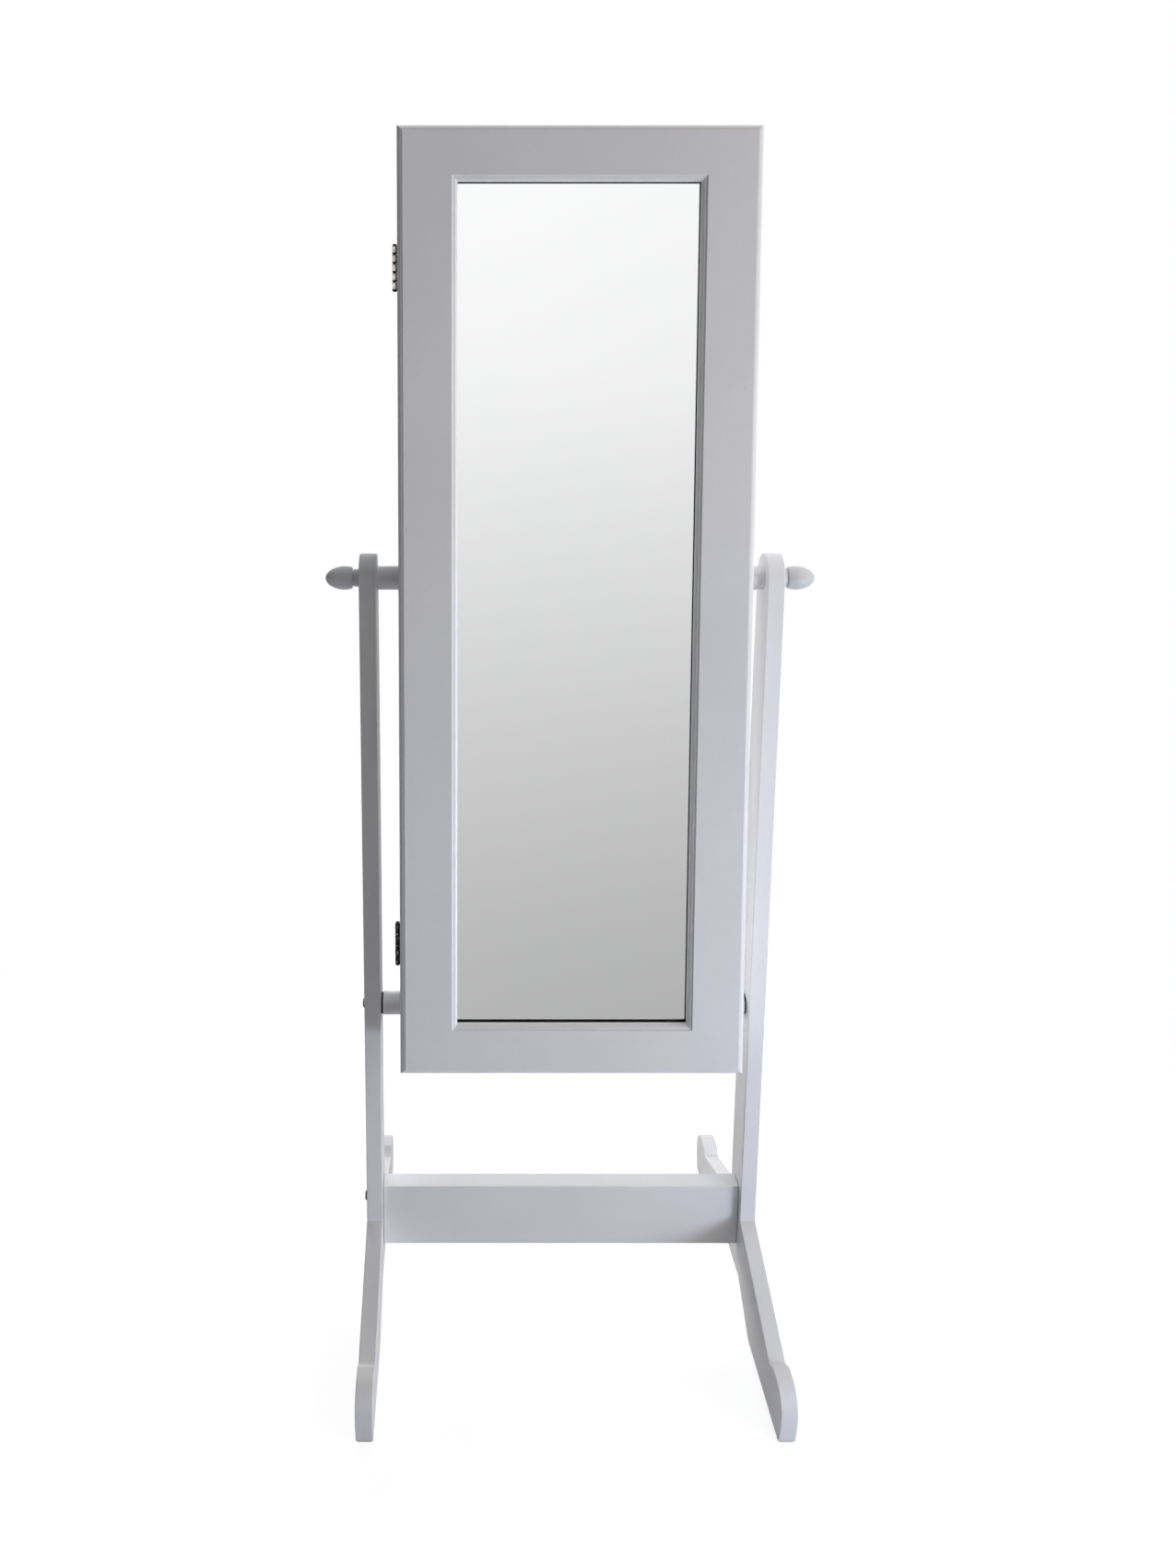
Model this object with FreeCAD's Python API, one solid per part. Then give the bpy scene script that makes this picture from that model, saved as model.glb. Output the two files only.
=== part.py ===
import FreeCAD, Part

import math
import os

# A cheval jewelry cabinet: a mirrored cabinet that tilts between the two uprights of a floor stand.
#
# Lengths are in millimetres and angles in degrees. +X is the viewer's right, +Y points away from the viewer and
# +Z is up. The origin is on the floor, midway between the uprights, straight below the tilt axis.
# The cabinet and its door are drawn upright, in places counted from the tilt axis, and then leaned back together.

# ---- Stand ---------------------------------------------------------------------------------------------------
BOARD = 20.0                    # thickness of the uprights and the feet
EDGE_ROUND = 1.2                # eased edges of the stand's boards
UPRIGHT_INNER_X = 228.5         # inner face of each upright
UPRIGHT_DEPTH = 52.0
UPRIGHT_TOP_Z = 981.0
SEAM_Z = 118.0                  # each upright stands on its foot here
TILT_Z = 952.0                  # height of the tilt axis

PAD_THICKNESS = 2.0             # felt pads under the toes
PAD_WIDTH = 16.0
PAD_LENGTH = 32.0
FOOT_REACH = 235.0              # nose of each toe, in front and behind
TOE_BOTTOM_Y = 229.0            # where the nose meets the underside
TOE_TOP_Z = 65.5
TOE_BACK_Y = 193.0              # where the toe's top begins
TOE_NOSE_Z = 26.0               # the nose is upright above this and draws in below it
TOE_ROUND = 26.0
NOTCH_Y = 181.0                 # the dip between the slope and the toe
NOTCH_Z = 56.5
ARCH_BOTTOM_Y = 88.0            # the arch under each foot is this wide at the floor, to each side
ARCH_TOP_Y = 30.0               # and this wide at its crown
ARCH_TOP_Z = 41.0

CROSSBAR_Z = (77.5, 160.0)
CROSSBAR_Y = (-16.5, 8.5)
CROSSBAR_GAP = 0.5              # shadow gap at each end of the crossbar
CROSSBAR_BOLT_Z = 138.0         # a bolt through each upright holds the crossbar
CROSSBAR_DOWEL_Z = 98.0         # and a dowel in each foot keeps it from turning
BOLT_RADIUS = 3.0               # M6 bolts through the uprights
BOLT_HEAD_RADIUS = 6.0
BOLT_HEAD_THICKNESS = 3.6
BOLT_HEAD_ROUND = 2.6           # the domed rim of a bolt's head
SOCKET_RADIUS = 2.3             # hexagonal socket in a bolt's head, from its middle to a corner
SOCKET_DEPTH = 2.2
BOLT_REACH = 46.0               # length of a crossbar bolt under its head
BARREL_NUT_RADIUS = 5.0
BARREL_NUT_LENGTH = 18.0
BARREL_NUT_INSET = 17.0         # from the crossbar's end to the nut's middle

DOWEL_RADIUS = 4.0
DOWEL_LENGTH = 44.0
DOWEL_Y = 16.0                  # dowels stand this far in front of and behind the upright's middle
CROSSBAR_DOWEL_X = (-26.0, 14.0)  # a crossbar dowel reaches this far to each side of the foot's inner face

SPACER_RADIUS = 14.0
RUNNING_GAP = 0.3               # between faces of pieces that move against each other
LOCK_DROP = 546.0               # the lower spacers are this far below the tilt axis
LOCK_WASHER = 2.4               # black washer between a lower spacer and its upright

# ---- Pivot knobs ---------------------------------------------------------------------------------------------
PIVOT_BOLT_RADIUS = 4.0         # M8 bolt in each knob
PIVOT_BOLT_CLEARANCE = 0.05     # running fit in the threaded insert
PIVOT_HOLE_RADIUS = 4.4         # clearance hole in upright and spacer
KNOB_COLLAR_RADIUS = 10.5
KNOB_COLLAR_LENGTH = 7.0
KNOB_NECK_RADIUS = 9.0
KNOB_NECK_LENGTH = 1.6
KNOB_SHOULDER_RADIUS = 12.6
KNOB_RADIUS = 14.0
KNOB_CHEEK = 9.0                # from the neck to the knob's widest place
KNOB_LENGTH = 41.0              # whole knob, from the upright outwards

# ---- Cabinet, counted from the tilt axis ---------------------------------------------------------------------
LEAN = 4.4                      # how far the cabinet leans back at rest
DOOR_WIDTH = 400.0
DOOR_HEIGHT = 1080.0
DOOR_TOP = 504.5                # above the tilt axis
DOOR_FRONT = -75.5              # the door's face, in front of the tilt axis
DOOR_THICKNESS = 20.0
STILE_WIDTH = 66.5
RAIL_WIDTH = 60.0
BEVEL_WIDTH = 6.2               # rounded outer edge of the door's face
BEVEL_STEP = 0.8                # it starts with this small step down
BEVEL_DEPTH = 5.4
MOULDING_WIDTH = 6.2            # moulding round the glass, within the stiles and rails
MOULDING_STEP = 0.4             # it starts with this small step down
MOULDING_FACET = (1.4, 1.6)     # width and depth of its sloping outer facet
MOULDING_FLAT = (1.8, 0.3)      # width and depth of the nearly flat band next to it
MOULDING_QUIRK = 0.4            # small step between the band and the inner round
MOULDING_DEPTH = 8.0
GLASS_SET_BACK = 9.0            # from the door's face to the glass
GLASS_THICKNESS = 4.0
REBATE = 9.0                    # the glass reaches this far behind the moulding
REBATE_CLEARANCE = 1.0
BACKING_THICKNESS = 3.0
LINING_THICKNESS = 3.0

DOOR_GAP = 2.0                  # between the door and the case, filled by the hinge leaves
CASE_INSET = 1.0                # the case is this much smaller than the door, all round
CASE_DEPTH = 110.0
CASE_BOARD = 12.0
BACK_THICKNESS = 4.0
BACK_INSET = 4.5                # the back panel sits this far inside the case's rear edge
CASE_LINING = 2.0
SHELF_THICKNESS = 10.0
SHELF_FRONT = -36.0
SHELF_TOPS = {"upper": -60.0, "middle": -228.0, "lower": -396.0}
LIP_THICKNESS = 6.0
LIP_RISE = 18.0                 # a lip stands this high above its shelf

INSERT_RADIUS = 7.0             # brass inserts in the case's sides
ANGLE_INSERT_RADIUS = 5.0
ANGLE_STEP = 21.0               # angle inserts lie this far apart, front to back
ANGLE_PLACES = (-1, 0, 1, 2)    # in steps behind the tilt axis. The last one holds the cabinet at LEAN

NECKLACE_RAIL_Z = (436.0, 472.0)
NECKLACE_RAIL_DEPTH = 14.0
PEG_COUNT = 10
PEG_PITCH = 34.0
PEG_RADIUS = 2.2
PEG_LENGTH = 22.0
PEG_BALL_RADIUS = 3.8
ROD_Z = 170.0                   # bracelet rod
ROD_Y = 0.0
ROD_RADIUS = 7.0
ROD_CUP_RADIUS = 11.0
ROD_CUP_LENGTH = 8.0
ROD_CUP_FLOOR = 3.0
TRAY_WIDTH = 340.0
TRAY_Z = (0.0, 112.0)
TRAY_DEPTH = 24.0
TRAY_RIM = 7.0
TRAY_FLOOR = 3.0
ROLL_COUNT = 5
ROLL_GAP = 1.0                  # between neighbouring ring rolls
CATCH_Z = (-480.0, 420.0)       # magnetic catches, low and high
CATCH_SIZE = (12.0, 14.0, 46.0)
MAGNET_SIZE = (5.0, 13.6, 38.0)
MAGNET_PROUD = 0.5
STRIKE_SIZE = (12.0, 1.2, 38.0)
EARRING_BAR_Z = (-60.0, 120.0, 300.0)
EARRING_BAR_SIZE = (240.0, 11.0, 20.0)
SLIT_COUNT = 15
SLIT_PITCH = 14.0
SLIT_WIDTH = 1.4
SLIT_DEPTH = 9.0

# ---- Door hinges ---------------------------------------------------------------------------------------------
HINGE_Z = (-425.0, 353.5)       # middles of the lower and upper hinge
HINGE_HEIGHT = 50.0
KNUCKLES = 5
KNUCKLE_GAP = 0.6
KNUCKLE_ROUND = 0.7             # rounded rims of the knuckles
BARREL_RADIUS = 3.0
BARREL_OUT = 3.3                # from the door's edge to the pin
HINGE_PIN_RADIUS = 1.25
PIN_CLEARANCE = 0.05
PIN_HEAD_RADIUS = 2.3
PIN_HEAD_THICKNESS = 1.0
LEAF_THICKNESS = 0.85
LEAF_WIDTH = 15.0               # from the pin inwards
HINGE_SCREW_RADIUS = 1.3
HINGE_SCREW_HEAD = 2.5
HINGE_SCREW_HEAD_DEPTH = 0.8
HINGE_SCREW_SLOT = (2.8, 0.6)   # length and width of each slot of the cross in a screw's head
HINGE_SCREW_SLOT_DEPTH = 0.6
HINGE_SCREW_LENGTH = 11.0
HINGE_SCREW_IN = 9.5            # from the pin inwards
HINGE_SCREW_Z = 16.0            # above and below the hinge's middle

# ---- Derived places ------------------------------------------------------------------------------------------
UPRIGHT_OUTER_X = UPRIGHT_INNER_X + BOARD
LOCK_Z = TILT_Z - LOCK_DROP
DOOR_BACK = DOOR_FRONT + DOOR_THICKNESS
DOOR_BOTTOM = DOOR_TOP - DOOR_HEIGHT
GLASS_FRONT = DOOR_FRONT + GLASS_SET_BACK
BACKING_FRONT = GLASS_FRONT + GLASS_THICKNESS
LINING_FRONT = BACKING_FRONT + BACKING_THICKNESS
LINING_BACK = LINING_FRONT + LINING_THICKNESS
CASE_X = DOOR_WIDTH / 2 - CASE_INSET
CASE_INNER_X = CASE_X - CASE_BOARD
CASE_FRONT = DOOR_BACK + DOOR_GAP
CASE_BACK = CASE_FRONT + CASE_DEPTH
CASE_TOP = DOOR_TOP - CASE_INSET
CASE_BOTTOM = DOOR_BOTTOM + CASE_INSET
ROOM_TOP = CASE_TOP - CASE_BOARD
ROOM_BOTTOM = CASE_BOTTOM + CASE_BOARD
BACK_FACE = CASE_BACK - BACK_INSET - BACK_THICKNESS
ROOM_BACK = BACK_FACE - CASE_LINING
SPACER_END_X = CASE_X + RUNNING_GAP
HINGE_X = -DOOR_WIDTH / 2 - BARREL_OUT
HINGE_Y = DOOR_BACK + DOOR_GAP / 2

V = FreeCAD.Vector


# ---- Shape helpers -------------------------------------------------------------------------------------------
def block(x, y, z):
    """A box from its (low, high) range along each axis."""
    return Part.makeBox(x[1] - x[0], y[1] - y[0], z[1] - z[0], V(x[0], y[0], z[0]))


def around(middle, size):
    """The range of this size round a middle."""
    return (middle - size / 2, middle + size / 2)


def rod_x(x, y, z, radius):
    """A cylinder along X over a (low, high) range."""
    return Part.makeCylinder(radius, x[1] - x[0], V(x[0], y, z), V(1, 0, 0))


def rod_y(x, y, z, radius):
    """A cylinder along Y over a (low, high) range."""
    return Part.makeCylinder(radius, y[1] - y[0], V(x, y[0], z), V(0, 1, 0))


def rod_z(x, y, z, radius):
    """A cylinder along Z over a (low, high) range."""
    return Part.makeCylinder(radius, z[1] - z[0], V(x, y, z[0]), V(0, 0, 1))


def less(shape, *tools):
    """A shape with each of the tools cut out of it."""
    for tool in tools:
        shape = shape.cut(tool)
    return shape


def mirrored(shape):
    """The same piece on the other side of the stand."""
    return shape.mirror(V(0, 0, 0), V(1, 0, 0))


def both_sides(shape):
    """A piece and its twin on the other side."""
    return [shape, mirrored(shape)]


def lean(shape):
    """Leans a piece drawn about the tilt axis back into its place between the uprights."""
    leaned = shape.copy()
    leaned.rotate(V(0, 0, 0), V(1, 0, 0), -LEAN)
    leaned.translate(V(0, 0, TILT_Z))
    return leaned


def rounded_face(corners, x):
    """A face across X from corners (y, z, radius), each corner rounded by an arc of its radius."""
    edges = []
    last_end = None
    first_start = None
    for i, (y, z, radius) in enumerate(corners):
        corner = V(x, y, z)
        before = V(x, *corners[i - 1][:2]) - corner
        after = V(x, *corners[(i + 1) % len(corners)][:2]) - corner
        before.normalize()
        after.normalize()
        half = before.getAngle(after) / 2
        setback = radius / math.tan(half)
        start = corner + before * setback
        end = corner + after * setback
        if radius > 0:
            inward = before + after
            inward.normalize()
            middle = corner + inward * (radius / math.sin(half) - radius)
            arc = Part.Arc(start, middle, end).toShape()
        if last_end is None:
            first_start = start
        else:
            edges.append(Part.LineSegment(last_end, start).toShape())
        if radius > 0:
            edges.append(arc)
        last_end = end
    edges.append(Part.LineSegment(last_end, first_start).toShape())
    return Part.Face(Part.Wire(edges))


def eased(board, low_x, high_x):
    """A board whose edges round both its faces across X are eased."""
    def on_face(edge):
        box = edge.BoundBox
        return box.XMax - box.XMin < 0.01 and min(abs(box.XMin - low_x), abs(box.XMin - high_x)) < 0.01
    return board.makeFillet(EDGE_ROUND, [edge for edge in board.Edges if on_face(edge)])


# ---- Stand ---------------------------------------------------------------------------------------------------
def bolt_head(y, z):
    """A domed head with a hexagonal socket, on the outer face of the right-hand upright."""
    outer = UPRIGHT_OUTER_X + BOLT_HEAD_THICKNESS
    head = rod_x((UPRIGHT_OUTER_X, outer), y, z, BOLT_HEAD_RADIUS)
    rim = [edge for edge in head.Edges if edge.BoundBox.XMin > outer - 0.01]
    head = head.makeFillet(BOLT_HEAD_ROUND, rim)
    turns = [math.radians(60 * i) for i in range(6)]
    corners = [V(outer, y + SOCKET_RADIUS * math.cos(a), z + SOCKET_RADIUS * math.sin(a)) for a in turns]
    socket = Part.Face(Part.makePolygon(corners + corners[:1])).extrude(V(-SOCKET_DEPTH, 0, 0))
    return head.cut(socket)


def crossbar_bolt():
    """The right-hand bolt through the upright into the crossbar."""
    y = sum(CROSSBAR_Y) / 2
    shank = rod_x((UPRIGHT_OUTER_X - BOLT_REACH, UPRIGHT_OUTER_X), y, CROSSBAR_BOLT_Z, BOLT_RADIUS)
    return shank.fuse(bolt_head(y, CROSSBAR_BOLT_Z))


def barrel_nut():
    """The cross nut let into the back of the crossbar at its right end."""
    x = UPRIGHT_INNER_X - CROSSBAR_GAP - BARREL_NUT_INSET
    nut = rod_y(x, (CROSSBAR_Y[1] - BARREL_NUT_LENGTH, CROSSBAR_Y[1]), CROSSBAR_BOLT_Z, BARREL_NUT_RADIUS)
    return less(nut, crossbar_bolt())


def crossbar_dowel():
    """The right-hand dowel between the crossbar's end and the foot."""
    x = tuple(UPRIGHT_INNER_X + reach for reach in CROSSBAR_DOWEL_X)
    return rod_x(x, sum(CROSSBAR_Y) / 2, CROSSBAR_DOWEL_Z, DOWEL_RADIUS)


def dowel(y):
    """A right-hand dowel across the seam between the upright and its foot."""
    x = UPRIGHT_INNER_X + BOARD / 2
    return rod_z(x, y, around(SEAM_Z, DOWEL_LENGTH), DOWEL_RADIUS)


def lock_screw():
    """The right-hand screw through the lower spacer, which ends just short of the case."""
    shank = rod_x((SPACER_END_X + RUNNING_GAP, UPRIGHT_OUTER_X), 0, LOCK_Z, BOLT_RADIUS)
    return shank.fuse(bolt_head(0, LOCK_Z))


def dowels():
    return [dowel(side * DOWEL_Y) for side in (-1, 1)]


def upright():
    """The right-hand upright, with a round top."""
    x = (UPRIGHT_INNER_X, UPRIGHT_OUTER_X)
    half = UPRIGHT_DEPTH / 2
    round_top = half - 0.01
    corners = [(-half, SEAM_Z, 0), (half, SEAM_Z, 0), (half, UPRIGHT_TOP_Z, round_top), (-half, UPRIGHT_TOP_Z, round_top)]
    board = rounded_face(corners, x[0]).extrude(V(BOARD, 0, 0))
    board = eased(board, *x)
    pivot_hole = rod_x(x, 0, TILT_Z, PIVOT_HOLE_RADIUS)
    return less(board, pivot_hole, lock_screw(), crossbar_bolt(), *dowels())


def foot():
    """The right-hand foot: a low arch with a sloping back and a rounded toe at each end."""
    x = (UPRIGHT_INNER_X, UPRIGHT_OUTER_X)
    half = UPRIGHT_DEPTH / 2
    rear = [
        (half, SEAM_Z, 0),
        (NOTCH_Y, NOTCH_Z, 7),
        (TOE_BACK_Y, TOE_TOP_Z, 9),
        (FOOT_REACH, TOE_TOP_Z, TOE_ROUND),
        (FOOT_REACH, TOE_NOSE_Z, 50),
        (TOE_BOTTOM_Y, PAD_THICKNESS, 2),
        (ARCH_BOTTOM_Y, PAD_THICKNESS, 6),
        (ARCH_TOP_Y, ARCH_TOP_Z, 18),
    ]
    front = [(-y, z, radius) for y, z, radius in reversed(rear)]
    board = rounded_face(rear + front, x[0]).extrude(V(BOARD, 0, 0))
    board = eased(board, *x)
    return less(board, crossbar_dowel(), *dowels())


def foot_pads():
    """Felt pads under the toes of both feet."""
    x = around(UPRIGHT_INNER_X + BOARD / 2, PAD_WIDTH)
    y = (TOE_BOTTOM_Y - 2 - PAD_LENGTH, TOE_BOTTOM_Y - 2)
    rear = block(x, y, (0, PAD_THICKNESS))
    front = block(x, (-y[1], -y[0]), (0, PAD_THICKNESS))
    return both_sides(rear) + both_sides(front)


def crossbar():
    """The board that joins the two feet and uprights."""
    end = UPRIGHT_INNER_X - CROSSBAR_GAP
    board = block((-end, end), CROSSBAR_Y, CROSSBAR_Z)
    board = board.makeFillet(EDGE_ROUND, board.Edges)
    return less(board, *both_sides(barrel_nut()), *both_sides(crossbar_bolt()), *both_sides(crossbar_dowel()))


def foot_dowels():
    return [pin for side in (-1, 1) for pin in both_sides(dowel(side * DOWEL_Y))]


def upper_spacer():
    """The right-hand round spacer on the tilt axis."""
    spacer = rod_x((SPACER_END_X, UPRIGHT_INNER_X), 0, TILT_Z, SPACER_RADIUS)
    return less(spacer, rod_x((SPACER_END_X, UPRIGHT_INNER_X), 0, TILT_Z, PIVOT_HOLE_RADIUS))


def lower_spacer():
    """The right-hand round spacer that keeps the case's lower end in line."""
    spacer = rod_x((SPACER_END_X, UPRIGHT_INNER_X - LOCK_WASHER), 0, LOCK_Z, SPACER_RADIUS)
    return less(spacer, lock_screw())


def lock_washer():
    """The right-hand black washer between the lower spacer and its upright."""
    washer = rod_x((UPRIGHT_INNER_X - LOCK_WASHER, UPRIGHT_INNER_X), 0, LOCK_Z, SPACER_RADIUS - 1)
    return less(washer, lock_screw())


# ---- Pivot knobs ---------------------------------------------------------------------------------------------
def pivot_bolt():
    """The right-hand bolt, from inside its knob to the inner face of the case's side."""
    x = (CASE_INNER_X, UPRIGHT_OUTER_X + KNOB_LENGTH * 0.6)
    return rod_x(x, 0, TILT_Z, PIVOT_BOLT_RADIUS - PIVOT_BOLT_CLEARANCE)


def knob():
    """The right-hand acorn knob, turned about the tilt axis."""
    start = UPRIGHT_OUTER_X + RUNNING_GAP
    neck = start + KNOB_COLLAR_LENGTH
    shoulder = neck + KNOB_NECK_LENGTH
    widest = shoulder + KNOB_CHEEK
    tip = UPRIGHT_OUTER_X + KNOB_LENGTH
    def at(x, radius):
        return V(x, 0, TILT_Z + radius)
    nose = Part.Ellipse(V(widest, 0, TILT_Z), tip - widest, KNOB_RADIUS)
    nose.Axis = V(0, -1, 0)
    cheek_middle = at(shoulder + KNOB_CHEEK / 2, KNOB_RADIUS - (KNOB_RADIUS - KNOB_SHOULDER_RADIUS) * 0.27)
    edges = [
        Part.LineSegment(at(start, 0), at(start, KNOB_COLLAR_RADIUS)).toShape(),
        Part.LineSegment(at(start, KNOB_COLLAR_RADIUS), at(neck, KNOB_COLLAR_RADIUS)).toShape(),
        Part.LineSegment(at(neck, KNOB_COLLAR_RADIUS), at(neck, KNOB_NECK_RADIUS)).toShape(),
        Part.LineSegment(at(neck, KNOB_NECK_RADIUS), at(shoulder, KNOB_NECK_RADIUS)).toShape(),
        Part.LineSegment(at(shoulder, KNOB_NECK_RADIUS), at(shoulder, KNOB_SHOULDER_RADIUS)).toShape(),
        Part.Arc(at(shoulder, KNOB_SHOULDER_RADIUS), cheek_middle, at(widest, KNOB_RADIUS)).toShape(),
        nose.toShape(0, math.pi / 2),
        Part.LineSegment(at(tip, 0), at(start, 0)).toShape(),
    ]
    half_section = Part.Face(Part.Wire(Part.__sortEdges__(edges)))
    turned = half_section.revolve(V(0, 0, TILT_Z), V(1, 0, 0), 360)
    return less(turned, pivot_bolt())


# ---- Case ----------------------------------------------------------------------------------------------------
def threaded_insert(y, z, radius, bore):
    """A flush threaded insert through the right-hand side of the case."""
    x = (CASE_INNER_X, CASE_X)
    return less(rod_x(x, y, z, radius), rod_x(x, y, z, bore))


def case_side():
    """The right-hand side of the case."""
    x = (CASE_INNER_X, CASE_X)
    board = block(x, (CASE_FRONT, CASE_BACK), (CASE_BOTTOM, CASE_TOP))
    pivot = rod_x(x, 0, 0, INSERT_RADIUS)
    angle_holes = [rod_x(x, step * ANGLE_STEP, -LOCK_DROP, ANGLE_INSERT_RADIUS) for step in ANGLE_PLACES]
    return less(board, pivot, *angle_holes)


def pivot_inserts():
    return both_sides(threaded_insert(0, 0, INSERT_RADIUS, PIVOT_BOLT_RADIUS))


def angle_inserts():
    """Four threaded inserts low in each side of the case, one for each angle."""
    inserts = []
    for step in ANGLE_PLACES:
        inserts += both_sides(threaded_insert(step * ANGLE_STEP, -LOCK_DROP, ANGLE_INSERT_RADIUS, BOLT_RADIUS))
    return inserts


def case_end(z):
    """The case's top or bottom board, between the sides."""
    return block((-CASE_INNER_X, CASE_INNER_X), (CASE_FRONT, CASE_BACK), z)


def back_panel():
    return block((-CASE_INNER_X, CASE_INNER_X), (BACK_FACE, BACK_FACE + BACK_THICKNESS), (ROOM_BOTTOM, ROOM_TOP))


def back_lining():
    """The velvet-covered sheet in front of the back panel."""
    return block((-CASE_INNER_X, CASE_INNER_X), (ROOM_BACK, BACK_FACE), (ROOM_BOTTOM, ROOM_TOP))


def shelf(top):
    return block((-CASE_INNER_X, CASE_INNER_X), (SHELF_FRONT, ROOM_BACK), (top - SHELF_THICKNESS, top))


def shelf_lip(top):
    """The rail along a shelf's front edge."""
    y = (SHELF_FRONT - LIP_THICKNESS, SHELF_FRONT)
    return block((-CASE_INNER_X, CASE_INNER_X), y, (top - SHELF_THICKNESS, top + LIP_RISE))


def peg_places():
    return [(i - (PEG_COUNT - 1) / 2) * PEG_PITCH for i in range(PEG_COUNT)]


def necklace_peg(x):
    """A peg with a ball at its end, set into the necklace rail."""
    z = sum(NECKLACE_RAIL_Z) / 2
    rail_front = ROOM_BACK - NECKLACE_RAIL_DEPTH
    end = rail_front - PEG_LENGTH
    stem = rod_y(x, (end, ROOM_BACK - NECKLACE_RAIL_DEPTH / 2), z, PEG_RADIUS)
    return stem.fuse(Part.makeSphere(PEG_BALL_RADIUS, V(x, end, z)))


def necklace_pegs():
    return [necklace_peg(x) for x in peg_places()]


def necklace_rail():
    y = (ROOM_BACK - NECKLACE_RAIL_DEPTH, ROOM_BACK)
    rail = block((-CASE_INNER_X, CASE_INNER_X), y, NECKLACE_RAIL_Z)
    return less(rail, *necklace_pegs())


def bracelet_rod():
    end = CASE_INNER_X - ROD_CUP_FLOOR
    return rod_x((-end, end), ROD_Y, ROD_Z, ROD_RADIUS)


def rod_cups():
    """A cup on each side of the case holds the bracelet rod."""
    cup = rod_x((CASE_INNER_X - ROD_CUP_LENGTH, CASE_INNER_X), ROD_Y, ROD_Z, ROD_CUP_RADIUS)
    return both_sides(less(cup, bracelet_rod()))


def tray_room():
    """The hollow of the ring tray: its ranges along X, Y and Z."""
    front = ROOM_BACK - TRAY_DEPTH
    x = around(0, TRAY_WIDTH - 2 * TRAY_RIM)
    return x, (front, ROOM_BACK - TRAY_FLOOR), (TRAY_Z[0] + TRAY_RIM, TRAY_Z[1] - TRAY_RIM)


def ring_tray():
    """A shallow tray on the case's back that holds the ring rolls."""
    tray = block(around(0, TRAY_WIDTH), (ROOM_BACK - TRAY_DEPTH, ROOM_BACK), TRAY_Z)
    return less(tray, block(*tray_room()))


def ring_rolls():
    """Padded rolls lying across the tray, one above the other. Rings are held between them."""
    x, y, z = tray_room()
    pitch = (z[1] - z[0]) / ROLL_COUNT
    radius = (pitch - ROLL_GAP) / 2
    rolls = []
    for i in range(ROLL_COUNT):
        roll = rod_x((x[0] + ROLL_GAP, x[1] - ROLL_GAP), y[1] - radius, z[0] + pitch * (i + 0.5), radius)
        rolls.append(roll.makeFillet(radius * 0.6, roll.Edges[0:1] + roll.Edges[2:3]))
    return rolls


def catch_x():
    """The range along X of a catch on the case's right side."""
    return (CASE_INNER_X - CATCH_SIZE[0], CASE_INNER_X)


def catch_magnet(z):
    x = around(sum(catch_x()) / 2, MAGNET_SIZE[0])
    return block(x, (CASE_FRONT - MAGNET_PROUD, CASE_FRONT - MAGNET_PROUD + MAGNET_SIZE[1]), around(z, MAGNET_SIZE[2]))


def catch_housing(z):
    housing = block(catch_x(), (CASE_FRONT, CASE_FRONT + CATCH_SIZE[1]), around(z, CATCH_SIZE[2]))
    return less(housing, catch_magnet(z))


# ---- Hinges --------------------------------------------------------------------------------------------------
def knuckle_ranges(middle, own):
    """The height ranges of a hinge's knuckles: the case's are the even ones and the door's the odd ones."""
    pitch = HINGE_HEIGHT / KNUCKLES
    bottom = middle - HINGE_HEIGHT / 2
    spans = [(bottom + i * pitch, bottom + (i + 1) * pitch - KNUCKLE_GAP) for i in range(KNUCKLES)]
    return spans[0::2] if own == "case" else spans[1::2]


def leaf_face(toward):
    """Where along Y the screws' heads lie, on the leaf of the door (-1) or of the case (1)."""
    return HINGE_Y + toward * (DOOR_GAP / 2 - LEAF_THICKNESS)


def hinge_screws(middle, toward):
    """The two countersunk screws of a leaf, without the cross in their heads."""
    screws = []
    for side in (-1, 1):
        place = V(HINGE_X + HINGE_SCREW_IN, leaf_face(toward), middle + side * HINGE_SCREW_Z)
        head = Part.makeCone(HINGE_SCREW_HEAD, HINGE_SCREW_RADIUS, HINGE_SCREW_HEAD_DEPTH, place, V(0, toward, 0))
        shank = Part.makeCylinder(HINGE_SCREW_RADIUS, HINGE_SCREW_LENGTH, place, V(0, toward, 0))
        screws.append(shank.fuse(head))
    return screws


def knuckle(span):
    """One knuckle of a hinge, its rims rounded, before it is bored."""
    barrel = rod_z(HINGE_X, HINGE_Y, span, BARREL_RADIUS)
    rims = [edge for edge in barrel.Edges if edge.BoundBox.ZLength < 0.01]
    return barrel.makeFillet(KNUCKLE_ROUND, rims)


def hinge_leaf(middle, own):
    """One leaf with its knuckles. It lies on the door's back or on the case's front edge."""
    toward = 1 if own == "case" else -1
    bore = HINGE_PIN_RADIUS + (0 if own == "case" else PIN_CLEARANCE)
    face = HINGE_Y + toward * DOOR_GAP / 2
    y = tuple(sorted((face, face - toward * LEAF_THICKNESS)))
    height = around(middle, HINGE_HEIGHT)
    leaf = block((HINGE_X + BARREL_RADIUS + RUNNING_GAP + 0.1, HINGE_X + LEAF_WIDTH), y, height)
    for span in knuckle_ranges(middle, own):
        leaf = leaf.fuse(block((HINGE_X + BARREL_RADIUS * 0.7, HINGE_X + LEAF_WIDTH), y, span))
        leaf = leaf.fuse(knuckle(span))
    leaf = leaf.cut(rod_z(HINGE_X, HINGE_Y, height, bore))
    return less(leaf, *hinge_screws(middle, toward)).removeSplitter()


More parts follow.
